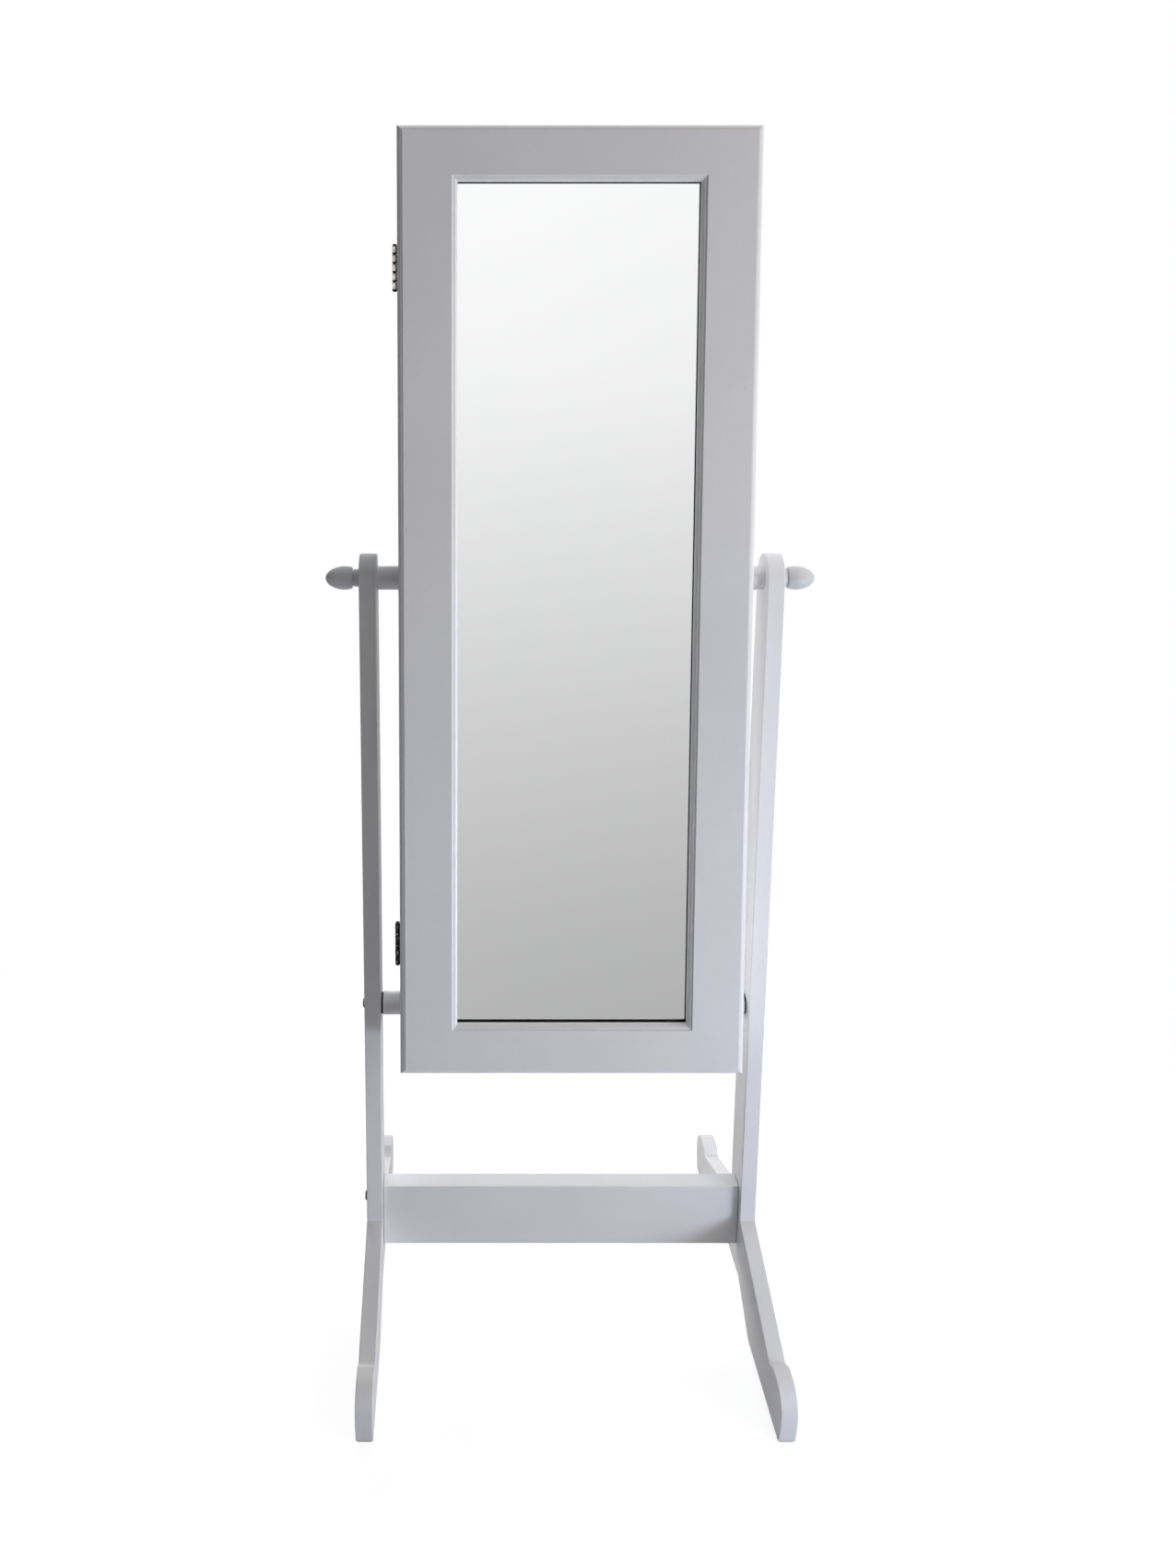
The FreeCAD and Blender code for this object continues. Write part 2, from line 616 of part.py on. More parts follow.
def hinge_pin(middle):
    """A hinge pin with a flat head at each end."""
    low, high = around(middle, HINGE_HEIGHT)
    pin = rod_z(HINGE_X, HINGE_Y, (low, high), HINGE_PIN_RADIUS)
    top = rod_z(HINGE_X, HINGE_Y, (high, high + PIN_HEAD_THICKNESS), PIN_HEAD_RADIUS)
    bottom = rod_z(HINGE_X, HINGE_Y, (low - PIN_HEAD_THICKNESS, low), PIN_HEAD_RADIUS)
    return pin.fuse(top).fuse(bottom)


def leaf_screws(toward):
    return [screw for middle in HINGE_Z for screw in hinge_screws(middle, toward)]


def crossed_screws(toward):
    """The screws of the leaves, with a cross cut into each head."""
    y = tuple(sorted((leaf_face(toward), leaf_face(toward) + toward * HINGE_SCREW_SLOT_DEPTH)))
    length, width = HINGE_SCREW_SLOT
    x = HINGE_X + HINGE_SCREW_IN
    screws = []
    for screw in leaf_screws(toward):
        z = screw.BoundBox.Center.z
        flat_slot = block(around(x, length), y, around(z, width))
        upright_slot = block(around(x, width), y, around(z, length))
        screws.append(less(screw, flat_slot, upright_slot))
    return screws


# ---- Door ----------------------------------------------------------------------------------------------------
def section_face(profile, place):
    """A face from one half of a section and its mirror image. Two points make a line and three make an arc."""
    edges = []
    for sign in (1, -1):
        for points in profile:
            corners = [place(sign * u, y) for u, y in points]
            edges.append(Part.LineSegment(*corners) if len(corners) == 2 else Part.Arc(*corners))
    for u, y in (profile[0][0], profile[-1][-1]):
        edges.append(Part.LineSegment(place(-u, y), place(u, y)))
    return Part.Face(Part.Wire(Part.__sortEdges__([edge.toShape() for edge in edges])))


def moulded_block(half_width, heights, profile_of):
    """A block whose four sides all have the same section, which meets itself in a mitre at each corner.

    profile_of(reach) gives the section's half, from front to back, for a block that reaches this far from its middle.
    """
    low, high = heights
    middle = (low + high) / 2
    half_height = (high - low) / 2
    beyond = 2 * REBATE
    upright_section = section_face(profile_of(half_width), lambda u, y: V(u, y, low - beyond))
    across_section = section_face(profile_of(half_height), lambda u, y: V(-half_width - beyond, y, middle + u))
    running_up = upright_section.extrude(V(0, 0, high - low + 2 * beyond))
    running_across = across_section.extrude(V(2 * (half_width + beyond), 0, 0))
    return running_up.common(running_across)


def outer_edge(reach):
    """Section of the door's outer edge: a small step, a rounded bevel, then straight to the back."""
    face = reach - BEVEL_WIDTH
    step = DOOR_FRONT + BEVEL_STEP
    foot_of_curve = DOOR_FRONT + BEVEL_DEPTH
    bulge = (reach - BEVEL_WIDTH * 0.32, step + (foot_of_curve - step) * 0.34)
    return [
        [(face, DOOR_FRONT), (face, step)],
        [(face, step), bulge, (reach, foot_of_curve)],
        [(reach, foot_of_curve), (reach, DOOR_BACK)],
    ]


def opening_edge(reach):
    """Section of the opening: a step, a facet, a band and a round down to the glass, then the wider rebate behind."""
    lip = reach + MOULDING_WIDTH
    step = DOOR_FRONT + MOULDING_STEP
    facet_end = (lip - MOULDING_FACET[0], step + MOULDING_FACET[1])
    flat_end = (facet_end[0] - MOULDING_FLAT[0], facet_end[1] + MOULDING_FLAT[1])
    round_start = (flat_end[0], flat_end[1] + MOULDING_QUIRK)
    round_foot = (reach, DOOR_FRONT + MOULDING_DEPTH)
    bulge = tuple(foot + (start - foot) * share for foot, start, share in zip(round_foot, round_start, (0.36, 0.64)))
    back = reach + REBATE
    return [
        [(lip, DOOR_FRONT - 1), (lip, step)],
        [(lip, step), facet_end],
        [facet_end, flat_end],
        [flat_end, round_start],
        [round_start, bulge, round_foot],
        [round_foot, (reach, GLASS_FRONT)],
        [(reach, GLASS_FRONT), (back, GLASS_FRONT)],
        [(back, GLASS_FRONT), (back, DOOR_BACK + 1)],
    ]


def opening_half_width():
    return DOOR_WIDTH / 2 - STILE_WIDTH


def opening_heights():
    return (DOOR_BOTTOM + RAIL_WIDTH, DOOR_TOP - RAIL_WIDTH)


def door_frame():
    """The whole moulded frame of the door, before it is cut into stiles and rails."""
    board = moulded_block(DOOR_WIDTH / 2, (DOOR_BOTTOM, DOOR_TOP), outer_edge)
    return board.cut(moulded_block(opening_half_width(), opening_heights(), opening_edge))


def frame_piece(x, z):
    """The part of the frame over a (low, high) range along X and Z."""
    return door_frame().common(block(x, (DOOR_FRONT - 1, DOOR_BACK + 1), z))


def stile():
    """The right stile. It runs the whole height of the door, with the rails between it and the left one."""
    return frame_piece((opening_half_width(), DOOR_WIDTH / 2 + 1), (DOOR_BOTTOM - 1, DOOR_TOP + 1))


def rail(end):
    """The top (1) or bottom (-1) rail."""
    half = opening_half_width()
    middle = (DOOR_TOP + DOOR_BOTTOM) / 2
    return frame_piece((-half, half), tuple(sorted((middle, middle + end * DOOR_HEIGHT))))


def left_stile():
    """The left stile, with the holes for its hinge screws."""
    return less(mirrored(stile()), *leaf_screws(-1))


def pane(front, thickness):
    """A sheet that fills the rebate behind the moulding."""
    half = opening_half_width() + REBATE - REBATE_CLEARANCE
    low, high = opening_heights()
    reach = REBATE - REBATE_CLEARANCE
    return block((-half, half), (front, front + thickness), (low - reach, high + reach))


def strike_plate(z):
    """A steel plate on the door's back that meets a catch."""
    x = around(sum(catch_x()) / 2, STRIKE_SIZE[0])
    return block(x, (DOOR_BACK, DOOR_BACK + STRIKE_SIZE[1]), around(z, STRIKE_SIZE[2]))


def earring_bar(z):
    """A padded bar on the door's inside, slit along its top for earrings."""
    length, depth, height = EARRING_BAR_SIZE
    y = (LINING_BACK, LINING_BACK + depth)
    bar = block(around(0, length), y, (z, z + height))
    for i in range(SLIT_COUNT):
        x = around((i - (SLIT_COUNT - 1) / 2) * SLIT_PITCH, SLIT_WIDTH)
        bar = bar.cut(block(x, y, (z + height - SLIT_DEPTH, z + height)))
    return bar


# ---- Nodes ---------------------------------------------------------------------------------------------------
def stand_nodes():
    right = {
        "upright": upright(),
        "foot": foot(),
        "upper_spacer": upper_spacer(),
        "lower_spacer": lower_spacer(),
        "lock_washer": lock_washer(),
        "lock_screw": lock_screw(),
    }
    nodes = {"right_" + name: shape for name, shape in right.items()}
    nodes.update({"left_" + name: mirrored(shape) for name, shape in right.items()})
    nodes["crossbar"] = crossbar()
    nodes["crossbar_bolts"] = both_sides(crossbar_bolt())
    nodes["crossbar_nuts"] = both_sides(barrel_nut())
    nodes["crossbar_dowels"] = both_sides(crossbar_dowel())
    nodes["foot_dowels"] = foot_dowels()
    nodes["foot_pads"] = foot_pads()
    return nodes


def knob_nodes():
    return {
        "right_knob": knob(),
        "right_pivot_bolt": pivot_bolt(),
        "left_knob": mirrored(knob()),
        "left_pivot_bolt": mirrored(pivot_bolt()),
    }


def case_nodes():
    nodes = {
        "case_right_side": case_side(),
        "case_left_side": less(mirrored(case_side()), *leaf_screws(1)),
        "case_top": case_end((ROOM_TOP, CASE_TOP)),
        "case_bottom": case_end((CASE_BOTTOM, ROOM_BOTTOM)),
        "back_panel": back_panel(),
        "back_lining": back_lining(),
        "pivot_inserts": pivot_inserts(),
        "angle_inserts": angle_inserts(),
        "necklace_rail": necklace_rail(),
        "necklace_pegs": necklace_pegs(),
        "bracelet_rod": bracelet_rod(),
        "rod_cups": rod_cups(),
        "ring_tray": ring_tray(),
        "ring_rolls": ring_rolls(),
        "catch_housings": [catch_housing(z) for z in CATCH_Z],
        "catch_magnets": [catch_magnet(z) for z in CATCH_Z],
        "case_hinge_leaves": [hinge_leaf(z, "case") for z in HINGE_Z],
        "case_hinge_screws": crossed_screws(1),
        "hinge_pins": [hinge_pin(z) for z in HINGE_Z],
    }
    for name, top in SHELF_TOPS.items():
        nodes[name + "_shelf"] = shelf(top)
        nodes[name + "_shelf_lip"] = shelf_lip(top)
    return nodes


def door_nodes():
    return {
        "left_stile": left_stile(),
        "right_stile": stile(),
        "top_rail": rail(1),
        "bottom_rail": rail(-1),
        "mirror_glass": pane(GLASS_FRONT, GLASS_THICKNESS),
        "mirror_backing": pane(BACKING_FRONT, BACKING_THICKNESS),
        "door_lining": pane(LINING_FRONT, LINING_THICKNESS),
        "earring_bars": [earring_bar(z) for z in EARRING_BAR_Z],
        "strike_plates": [strike_plate(z) for z in CATCH_Z],
        "door_hinge_leaves": [hinge_leaf(z, "door") for z in HINGE_Z],
        "door_hinge_screws": crossed_screws(-1),
    }


def all_nodes():
    """Every sub-part in its place, as node name to shape."""
    nodes = {}
    for name, shape in {**stand_nodes(), **knob_nodes()}.items():
        nodes[name] = Part.makeCompound(shape) if isinstance(shape, list) else shape
    for name, shape in {**case_nodes(), **door_nodes()}.items():
        nodes[name] = lean(Part.makeCompound(shape) if isinstance(shape, list) else shape)
    return nodes


def main():
    os.makedirs("parts", exist_ok=True)
    for name, shape in all_nodes().items():
        shape.exportStep("parts/" + name + ".step")


main()
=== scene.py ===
import math

import bmesh
import bpy
from mathutils import Euler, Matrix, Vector

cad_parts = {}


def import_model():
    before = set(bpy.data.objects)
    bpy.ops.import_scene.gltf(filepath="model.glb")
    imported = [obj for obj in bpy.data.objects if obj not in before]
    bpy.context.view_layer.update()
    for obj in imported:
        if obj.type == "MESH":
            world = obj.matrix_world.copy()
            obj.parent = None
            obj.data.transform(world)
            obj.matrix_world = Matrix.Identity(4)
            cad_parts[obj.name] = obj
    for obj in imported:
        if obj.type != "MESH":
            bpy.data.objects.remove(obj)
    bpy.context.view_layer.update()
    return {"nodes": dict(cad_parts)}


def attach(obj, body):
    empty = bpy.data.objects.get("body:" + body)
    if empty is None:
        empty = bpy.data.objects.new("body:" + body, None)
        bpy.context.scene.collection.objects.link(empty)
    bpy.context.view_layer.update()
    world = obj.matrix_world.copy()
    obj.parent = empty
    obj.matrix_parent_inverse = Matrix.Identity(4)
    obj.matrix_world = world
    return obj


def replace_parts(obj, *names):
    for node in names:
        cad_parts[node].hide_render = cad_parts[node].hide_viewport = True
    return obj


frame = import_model()
nodes = frame["nodes"]

# The cabinet is drawn upright about its tilt axis and leaned back, as its solids are. Pieces are measured in
# millimetres. The tilt axis's height and everything on the stage are in metres.
LEAN = math.radians(4.4)
TILT_Z = 0.952
MM = 0.001


def leaned(x, v, w):
    """A place in the cabinet: x to the right, v behind the tilt axis and w above it, in millimetres."""
    v, w = v * MM, w * MM
    y = v * math.cos(LEAN) + w * math.sin(LEAN)
    z = TILT_Z - v * math.sin(LEAN) + w * math.cos(LEAN)
    return Vector((x * MM, y, z))


def in_scene(name, data):
    """A new object in the scene."""
    made = bpy.data.objects.new(name, data)
    bpy.context.scene.collection.objects.link(made)
    return made


# ---- Shader nodes --------------------------------------------------------------------------------------------
WHITE = (1.0, 1.0, 1.0)
MIX_COLOURS = (6, 7)  # which inputs of a Mix node are its two colours
MIX_RESULT = 2  # and which output is the mixed one


def emptied(owner):
    """The node tree of a material or of the world, with nothing in it."""
    owner.use_nodes = True
    owner.node_tree.nodes.clear()
    return owner.node_tree


def shader_node(tree, kind, **settings):
    made = tree.nodes.new("ShaderNode" + kind)
    for name, value in settings.items():
        setattr(made, name, value)
    return made


def maths(tree, operation, *values):
    """The result of an operation on values, each a number or a socket."""
    node = shader_node(tree, "Math", operation=operation)
    for socket, value in zip(node.inputs, values):
        if isinstance(value, (int, float)):
            socket.default_value = value
        else:
            tree.links.new(value, socket)
    return node.outputs[0]


def map_range(tree, value, low, high, to_low=0.0, to_high=1.0, **settings):
    """A value's range low..high stretched to to_low..to_high."""
    node = shader_node(tree, "MapRange", **settings)
    for socket, number in (("From Min", low), ("From Max", high), ("To Min", to_low), ("To Max", to_high)):
        node.inputs[socket].default_value = number
    tree.links.new(value, node.inputs["Value"])
    return node.outputs["Result"]


def mixed_colour(tree, value, first, second):
    """Colour from first to second as value goes from 0 to 1. Each is a colour or a socket."""
    node = shader_node(tree, "Mix", data_type="RGBA")
    tree.links.new(value, node.inputs["Factor"])
    for index, colour in zip(MIX_COLOURS, (first, second)):
        if isinstance(colour, tuple):
            node.inputs[index].default_value = (*colour, 1.0)
        else:
            tree.links.new(colour, node.inputs[index])
    return node.outputs[MIX_RESULT]


def mixed_shader(tree, value, first, second):
    """Shader from first to second as value goes from 0 to 1. All three are sockets."""
    node = shader_node(tree, "MixShader")
    for socket, source in zip(node.inputs, (value, first, second)):
        tree.links.new(source, socket)
    return node.outputs[0]


def coloured(tree, kind, colour):
    """The output of a shader of one colour."""
    node = shader_node(tree, kind)
    node.inputs["Color"].default_value = (*colour, 1.0)
    return node.outputs[0]


# ---- Materials -----------------------------------------------------------------------------------------------
class Surface:
    """A material built from procedural nodes round one Principled shader."""

    def __init__(self, name, **values):
        self.material = bpy.data.materials.new(name)
        self.material.use_nodes = True
        self.tree = self.material.node_tree
        self.shader = self.tree.nodes["Principled BSDF"]
        self.place = shader_node(self.tree, "TexCoord").outputs["Object"]
        for socket, value in values.items():
            self.shader.inputs[socket.replace("_", " ")].default_value = value

    def link(self, source, target):
        self.tree.links.new(source, target)

    def stretched(self, scale):
        """Object coordinates scaled along each axis."""
        mapping = shader_node(self.tree, "Mapping")
        mapping.inputs["Scale"].default_value = scale
        self.link(self.place, mapping.inputs["Vector"])
        return mapping.outputs["Vector"]

    def noise(self, scale, detail=3.0, roughness=0.55, place=None):
        texture = shader_node(self.tree, "TexNoise")
        texture.inputs["Scale"].default_value = scale
        texture.inputs["Detail"].default_value = detail
        texture.inputs["Roughness"].default_value = roughness
        self.link(place or self.place, texture.inputs["Vector"])
        return texture.outputs["Fac"]

    def spread(self, value, low, high, to_low=0.0, to_high=1.0):
        return map_range(self.tree, value, low, high, to_low, to_high)

    def mixed(self, value, first, second):
        return mixed_colour(self.tree, value, first, second)

    def colour(self, source):
        self.link(source, self.shader.inputs["Base Color"])

    def rough(self, source, low, high):
        self.link(self.spread(source, 0.3, 0.7, low, high), self.shader.inputs["Roughness"])

    def relief(self, heights):
        """Bumps laid over each other, from (height socket, depth in metres, strength) entries."""
        normal = None
        for height, depth, strength in heights:
            bump = shader_node(self.tree, "Bump")
            bump.inputs["Distance"].default_value = depth
            bump.inputs["Strength"].default_value = strength
            self.link(height, bump.inputs["Height"])
            if normal is not None:
                self.link(normal, bump.inputs["Normal"])
            normal = bump.outputs["Normal"]
        self.link(normal, self.shader.inputs["Normal"])


def white_paint(name, shade):
    """Satin white lacquer, with faint clouds, specks and a slight orange peel. A shade below 1 darkens all of it as
    painted shade.
    """
    paint = Surface(name)

    def tint(*colour):
        return tuple(part * shade for part in colour)

    clouds = paint.spread(paint.noise(5.0, 2.0), 0.35, 0.65)
    specks = paint.spread(paint.noise(900.0, 2.0), 0.60, 0.72)
    tone = paint.mixed(clouds, tint(0.765, 0.764, 0.770), tint(0.805, 0.804, 0.808))
    paint.colour(paint.mixed(specks, tone, tint(0.715, 0.715, 0.72)))
    peel = paint.noise(260.0, 2.0)
    brushed = paint.noise(40.0, 3.0)
    paint.rough(brushed, 0.34, 0.46)
    paint.relief([(peel, 0.00012, 0.25), (brushed, 0.0004, 0.12)])
    return paint.material


def mirror():
    """Silvered glass."""
    glass = Surface("mirror", Metallic=1.0)
    haze = glass.spread(glass.noise(3.0, 2.0), 0.35, 0.65)
    glass.colour(glass.mixed(haze, (0.925, 0.93, 0.93), (0.935, 0.94, 0.938)))
    glass.rough(glass.noise(12.0, 2.0), 0.006, 0.014)
    return glass.material


def painted_shade_rim():
    """Near-black strips for the rim under the moulding: painted shade where the moulding shades the mirror."""
    rim = Surface("painted_shade_rim", Specular_IOR_Level=0.3)
    rim.colour(rim.mixed(rim.noise(120.0, 3.0), (0.010, 0.014, 0.017), (0.022, 0.030, 0.033)))
    rim.rough(rim.noise(60.0), 0.35, 0.6)
    return rim.material


def velvet():
    """Short black velvet with brushed patches."""
    pile = Surface("velvet", Sheen_Weight=0.55, Sheen_Roughness=0.35, Specular_IOR_Level=0.15)
    pile.shader.inputs["Sheen Tint"].default_value = (0.55, 0.54, 0.60, 1.0)
    patches = pile.spread(pile.noise(22.0, 3.0), 0.38, 0.64)
    hairs = pile.noise(2600.0, 2.0)
    nap = pile.mixed(patches, (0.014, 0.013, 0.016), (0.034, 0.032, 0.038))
    pile.colour(pile.mixed(pile.spread(hairs, 0.5, 0.75), nap, (0.055, 0.052, 0.060)))
    pile.rough(hairs, 0.85, 1.0)
    pile.relief([(hairs, 0.0004, 0.6), (pile.noise(22.0, 3.0), 0.0012, 0.25)])
    return pile.material


def felt():
    """Dark pressed felt."""
    pad = Surface("felt", Sheen_Weight=0.3, Sheen_Roughness=0.6, Specular_IOR_Level=0.1)
    fibres = pad.noise(1400.0, 4.0, 0.7, pad.stretched((1.0, 0.5, 1.0)))
    pad.colour(pad.mixed(pad.spread(fibres, 0.35, 0.7), (0.10, 0.10, 0.115), (0.18, 0.18, 0.20)))
    pad.rough(fibres, 0.9, 1.0)
    pad.relief([(fibres, 0.0005, 0.7)])
    return pad.material


def plated(name, dark, light, rough_low, rough_high):
    """Plated or turned metal with tarnish in patches and fine scratches."""
    metal = Surface(name, Metallic=1.0)
    patches = metal.spread(metal.noise(160.0, 4.0, 0.65), 0.36, 0.66)
    metal.colour(metal.mixed(patches, dark, light))
    scratches = metal.noise(700.0, 2.0, 0.5, metal.stretched((1.0, 1.0, 0.08)))
    metal.rough(patches, rough_low, rough_high)
    metal.relief([(scratches, 0.00005, 0.25)])
    return metal.material


HINGE_MIDDLES = (-425.0, 353.5)  # of the lower and upper hinge, in millimetres above the tilt axis
KNUCKLE = 10.0  # length of one knuckle
GAP_SHADE_SPAN = (0.22, 0.08)  # where the painted shade at a gap starts and is full, in knuckles from the gap


def hinge_metal():
    """Brownish nickel plate, near black all over the lower hinge, and darkened with painted shade where the knuckles
    meet.
    """
    metal = Surface("hinge_metal", Metallic=1.0)
    tree = metal.tree
    parts = shader_node(tree, "SeparateXYZ")
    metal.link(metal.place, parts.inputs[0])
    rise = maths(tree, "SUBTRACT", parts.outputs["Z"], TILT_Z)
    from_lean = maths(tree, "MULTIPLY", parts.outputs["Y"], math.sin(LEAN))
    along = maths(tree, "ADD", from_lean, maths(tree, "MULTIPLY", rise, math.cos(LEAN)))
    low, high = HINGE_MIDDLES
    upper = maths(tree, "GREATER_THAN", along, 0.0)
    middle = maths(tree, "MULTIPLY_ADD", upper, (high - low) * MM, low * MM)
    from_middle = maths(tree, "DIVIDE", maths(tree, "SUBTRACT", along, middle), KNUCKLE * MM)
    from_gap = maths(tree, "ABSOLUTE", maths(tree, "SUBTRACT", maths(tree, "FRACT", from_middle), 0.5))
    painted_gap_shade = metal.spread(from_gap, *GAP_SHADE_SPAN)
    worn = metal.spread(metal.noise(430.0, 3.0), 0.46, 0.60)
    plate = metal.mixed(metal.noise(200.0, 3.0), (0.34, 0.29, 0.27), (0.56, 0.50, 0.46))
    plate = metal.mixed(worn, plate, (0.80, 0.75, 0.70))
    black = metal.mixed(metal.spread(metal.noise(520.0, 2.0), 0.52, 0.62), (0.012, 0.014, 0.014), (0.30, 0.31, 0.31))
    # Near each gap between knuckles the plate is darkened towards black: painted shade.
    tone = metal.mixed(upper, black, metal.mixed(painted_gap_shade, plate, (0.035, 0.028, 0.028)))
    metal.colour(metal.mixed(maths(tree, "MULTIPLY", painted_gap_shade, 0.8), tone, (0.012, 0.012, 0.012)))
    metal.rough(worn, 0.26, 0.42)
    metal.relief([(metal.noise(700.0, 2.0), 0.00005, 0.25)])
    return metal.material


def dull(name, dark, light, rough_low, rough_high, scale=90.0, depth=0.0002, grain=(1.0, 1.0, 1.0)):
    """A matte solid such as rubber, plastic, hardboard or bare wood. grain stretches its pattern."""
    solid = Surface(name, Specular_IOR_Level=0.3)
    pattern = solid.noise(scale, 4.0, 0.6, solid.stretched(grain))
    fine = solid.noise(scale * 9, 2.0)
    solid.colour(solid.mixed(solid.spread(pattern, 0.36, 0.66), dark, light))
    solid.rough(fine, rough_low, rough_high)
    solid.relief([(pattern, depth, 0.35), (fine, depth * 0.4, 0.3)])
    return solid.material


MATERIALS = {
    "white_paint": white_paint("white_paint", 1.0),
    # The knobs' paint is the same white darkened to 0.8: painted shade standing in for the dimmer light on the
    # knobs.
    "shaded_knob_paint": white_paint("shaded_knob_paint", 0.8),
    "mirror": mirror(),
    "painted_shade_rim": painted_shade_rim(),
    "velvet": velvet(),
    "pad_felt": felt(),
    "hinge_metal": hinge_metal(),
    "bolt_steel": plated("bolt_steel", (0.05, 0.05, 0.052), (0.12, 0.12, 0.125), 0.30, 0.45),
    "peg_chrome": plated("peg_chrome", (0.70, 0.70, 0.72), (0.82, 0.82, 0.83), 0.06, 0.14),
    "insert_brass": plated("insert_brass", (0.50, 0.37, 0.16), (0.74, 0.58, 0.29), 0.22, 0.36),
    "zinc_steel": plated("zinc_steel", (0.48, 0.48, 0.50), (0.66, 0.66, 0.67), 0.24, 0.38),
    "black_rubber": dull("black_rubber", (0.012, 0.012, 0.012), (0.03, 0.03, 0.03), 0.6, 0.8, 300.0),
    "bare_wood": dull("bare_wood", (0.62, 0.46, 0.30), (0.76, 0.60, 0.42), 0.55, 0.7, 60.0, 0.0003, (8.0, 8.0, 1.0)),
    "hardboard": dull("hardboard", (0.30, 0.19, 0.115), (0.42, 0.28, 0.18), 0.6, 0.8, 420.0),
    "catch_plastic": dull("catch_plastic", (0.80, 0.80, 0.79), (0.85, 0.85, 0.84), 0.4, 0.5, 30.0, 0.0001),
    "magnet": dull("magnet", (0.05, 0.05, 0.052), (0.10, 0.10, 0.105), 0.5, 0.7, 500.0),
}

FINISHES = {
    "white_paint": """left_upright right_upright left_foot right_foot left_upper_spacer right_upper_spacer
        left_lower_spacer right_lower_spacer crossbar left_knob right_knob case_right_side case_left_side case_top
        case_bottom back_panel upper_shelf middle_shelf lower_shelf upper_shelf_lip middle_shelf_lip
        lower_shelf_lip necklace_rail ring_tray rod_cups left_stile right_stile top_rail bottom_rail""",
    "mirror": "mirror_glass",
    "velvet": "back_lining door_lining ring_rolls earring_bars bracelet_rod",
    "hinge_metal": "case_hinge_leaves door_hinge_leaves case_hinge_screws door_hinge_screws hinge_pins",
    "bolt_steel": "left_lock_screw right_lock_screw crossbar_bolts",
    "zinc_steel": "left_pivot_bolt right_pivot_bolt crossbar_nuts strike_plates",
    "peg_chrome": "necklace_pegs",
    "insert_brass": "pivot_inserts angle_inserts",
    "black_rubber": "left_lock_washer right_lock_washer",
    "pad_felt": "foot_pads",
    "bare_wood": "crossbar_dowels foot_dowels",
    "hardboard": "mirror_backing",
    "catch_plastic": "catch_housings",
    "magnet": "catch_magnets",
}

SOFTENED = {  # how far the sharp edges of these solids are eased, in millimetres
    0.7: """case_right_side case_left_side case_top case_bottom upper_shelf middle_shelf lower_shelf
        upper_shelf_lip middle_shelf_lip lower_shelf_lip necklace_rail ring_tray""",
    0.3: "left_upper_spacer right_upper_spacer left_lower_spacer right_lower_spacer catch_housings foot_pads",
    0.15: "case_hinge_leaves door_hinge_leaves hinge_pins rod_cups strike_plates",
}
SHARP = math.radians(40)  # an edge that turns by more is eased
WELD_REACH = 0.01  # points nearer than this are one before that


def finish_nodes():
    """Gives each carried-over solid its material, and eases the edges that a finisher would."""
    for finish, names in FINISHES.items():
        for name in names.split():
            mesh = nodes[name].data
            mesh.materials.clear()
            mesh.materials.append(MATERIALS[finish])
    for width, names in SOFTENED.items():
        for name in names.split():
            node = nodes[name]
            weld = node.modifiers.new("weld", "WELD")
            weld.merge_threshold = WELD_REACH * MM
            bevel = node.modifiers.new("ease", "BEVEL")
            bevel.width = width * MM
            bevel.segments = 2
            bevel.limit_method = "ANGLE"
            bevel.angle_limit = SHARP
            normals = node.modifiers.new("normals", "WEIGHTED_NORMAL")
            normals.keep_sharp = False


finish_nodes()


# ---- Pieces --------------------------------------------------------------------------------------------------
def piece(name, points, faces, material, body, smooth=True):
    """A new mesh piece of the object."""
    mesh = bpy.data.meshes.new(name)
    mesh.from_pydata([tuple(point) for point in points], [], faces)
    mesh.validate()
    edit = bmesh.new()
    edit.from_mesh(mesh)
    bmesh.ops.recalc_face_normals(edit, faces=edit.faces)
    edit.to_mesh(mesh)
    edit.free()
    mesh.materials.append(MATERIALS[material])
    for polygon in mesh.polygons:
        polygon.use_smooth = smooth
    made = in_scene(name, mesh)
    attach(made, body)
    return made


def crisp(made, degrees):
    """Shades the edges that turn by more than this as sharp ones."""
    made.modifiers.new("crisp", "EDGE_SPLIT").split_angle = math.radians(degrees)


def rings_to_mesh(rings):
    """Points and faces of a tube through closed rings of equal length, closed flat at both ends."""
    count = len(rings[0])
    points = [point for ring in rings for point in ring]
    faces = []
    for i in range(len(rings) - 1):
        for j in range(count):
            k = (j + 1) % count
            faces.append((i * count + j, i * count + k, (i + 1) * count + k, (i + 1) * count + j))
    faces.append(tuple(range(count)))
    faces.append(tuple(range((len(rings) - 1) * count, len(rings) * count)))
    return points, faces


def box_piece(name, x, v, w, material, body):
    """A plain slab in the cabinet over (low, high) ranges in millimetres."""
    points = [leaned(a, b, c) for a in x for b in v for c in w]
    faces = [(0, 1, 3, 2), (4, 6, 7, 5), (0, 4, 5, 1), (2, 3, 7, 6), (0, 2, 6, 4), (1, 5, 7, 3)]
    return piece(name, points, faces, material, body, smooth=False)


# The mirror. Its silvering lies behind the glass, so the moulding's foot is seen doubled. The thin dark rim under
# the moulding is painted shade.
GLASS_FRONT = -66.5
GLASS_BACK = -62.5
SILVER_DEPTH = 3.8
PANE_X = 141.5
PANE_W = (-523.5, 452.5)
OPENING_X = 133.5
OPENING_W = (-515.5, 444.5)
RIM_SETBACK = 0.02  # behind the glass's front
RIM_THICKNESS = 0.2
RIM_CLEARANCE = 0.05  # from the opening in the moulding


